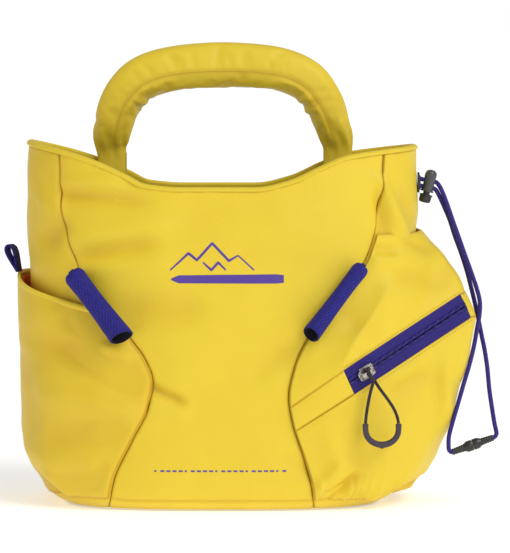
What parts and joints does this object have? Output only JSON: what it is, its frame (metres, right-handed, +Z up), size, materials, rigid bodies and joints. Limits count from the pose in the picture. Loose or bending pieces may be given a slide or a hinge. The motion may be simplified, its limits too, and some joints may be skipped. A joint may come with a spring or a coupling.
{
  "type": "chalk bucket",
  "caption": "Soft drawcord chalk bucket with padded carry handle, two brush tubes, open side pocket and zipped pocket.",
  "frame": {"origin": "middle of the flat base, on the surface the bag stands on", "axes": "+Z up; the front, with the brush tubes, faces -Y; the zipped pocket and drawcord are on the +X side"},
  "size_m": [0.3281, 0.1722, 0.3066],
  "materials": {
    "yellow_cloth": "fine woven coated cloth with a soft sheen",
    "purple_webbing": "coarse flat webbing",
    "orange_lining": "matt woven lining",
    "grey_fleece": "deep-pile fleece",
    "foam_board": "closed-cell foam",
    "purple_tape": "woven zip tape with a nylon coil",
    "nickel": "cast and nickel plated, satin",
    "dark_cord": "braided cord",
    "grip_rubber": "moulded soft rubber",
    "grey_plastic": "moulded, satin",
    "black_plastic": "moulded, satin",
    "spring_steel": "drawn wire",
    "purple_cord": "braided cord"
  },
  "bodies": {
    "bag": {"front_panel": "yellow_cloth", "back_panel": "yellow_cloth", "left_side_panel": "yellow_cloth", "right_side_panel": "yellow_cloth", "base_panel": "yellow_cloth", "base_stiffener": "foam_board", "bucket_lining": "grey_fleece", "rim_hem": "yellow_cloth", "side_pocket": "yellow_cloth", "side_pocket_lining": "orange_lining", "side_pocket_hem": "yellow_cloth", "pull_loop": "purple_webbing", "zip_pocket_upper": "yellow_cloth", "zip_pocket_lower": "yellow_cloth", "zip_end_strip_front": "yellow_cloth", "zip_end_strip_back": "yellow_cloth", "zip_tape_upper": "purple_tape", "zip_tape_lower": "purple_tape", "zip_coil_upper": "purple_tape", "zip_coil_lower": "purple_tape", "handle_tab_left": "yellow_cloth", "handle_tab_right": "yellow_cloth", "brush_tube_left": "purple_webbing", "brush_tube_right": "purple_webbing", "cord_eyelet": "black_plastic", "drawcord_upper": "purple_cord", "drawcord_lower": "purple_cord", "connector_half_left": "black_plastic", "connector_half_right": "black_plastic"},
    "handle": {"handle_cover": "yellow_cloth", "handle_core": "foam_board"},
    "slider": {"zip_slider": "nickel", "slider_bridge": "nickel"},
    "puller": {"puller_cord": "dark_cord", "puller_grip": "grip_rubber"},
    "cord_lock": {"cord_lock_sleeve": "grey_plastic", "cord_lock_spring": "spring_steel"},
    "lock_button": {"cord_lock_button": "grey_plastic"}
  },
  "joints": [
    {"name": "handle_fold", "type": "hinge", "parent": "bag", "child": "handle", "pos_m": [0, 0.045, 0.232], "axis": [1, 0, 0], "range_deg": [-62, 95]},
    {"name": "zip_travel", "type": "slide", "parent": "bag", "child": "slider", "axis": [0.7697, 0.4395, 0.463], "range_m": [0, 0.078]},
    {"name": "puller_swing", "type": "hinge", "parent": "slider", "child": "puller", "pos_m": [0.09689, -0.08001, 0.09195], "axis": [-0.7697, -0.4395, -0.463], "range_deg": [-3, 150], "deforming": ["puller_cord"]},
    {"name": "cord_lock_slide", "type": "slide", "parent": "bag", "child": "cord_lock", "axis": [0.9707, 0, -0.2402], "range_m": [-0.0005, 0.003], "deforming": ["drawcord_upper", "drawcord_lower"]},
    {"name": "lock_button_press", "type": "slide", "parent": "cord_lock", "child": "lock_button", "axis": [0.2402, 0, 0.9707], "range_m": [0, 0.0013], "stiffness_N_per_m": 600, "springref_m": -0.001, "deforming": ["cord_lock_spring"]}
  ]
}
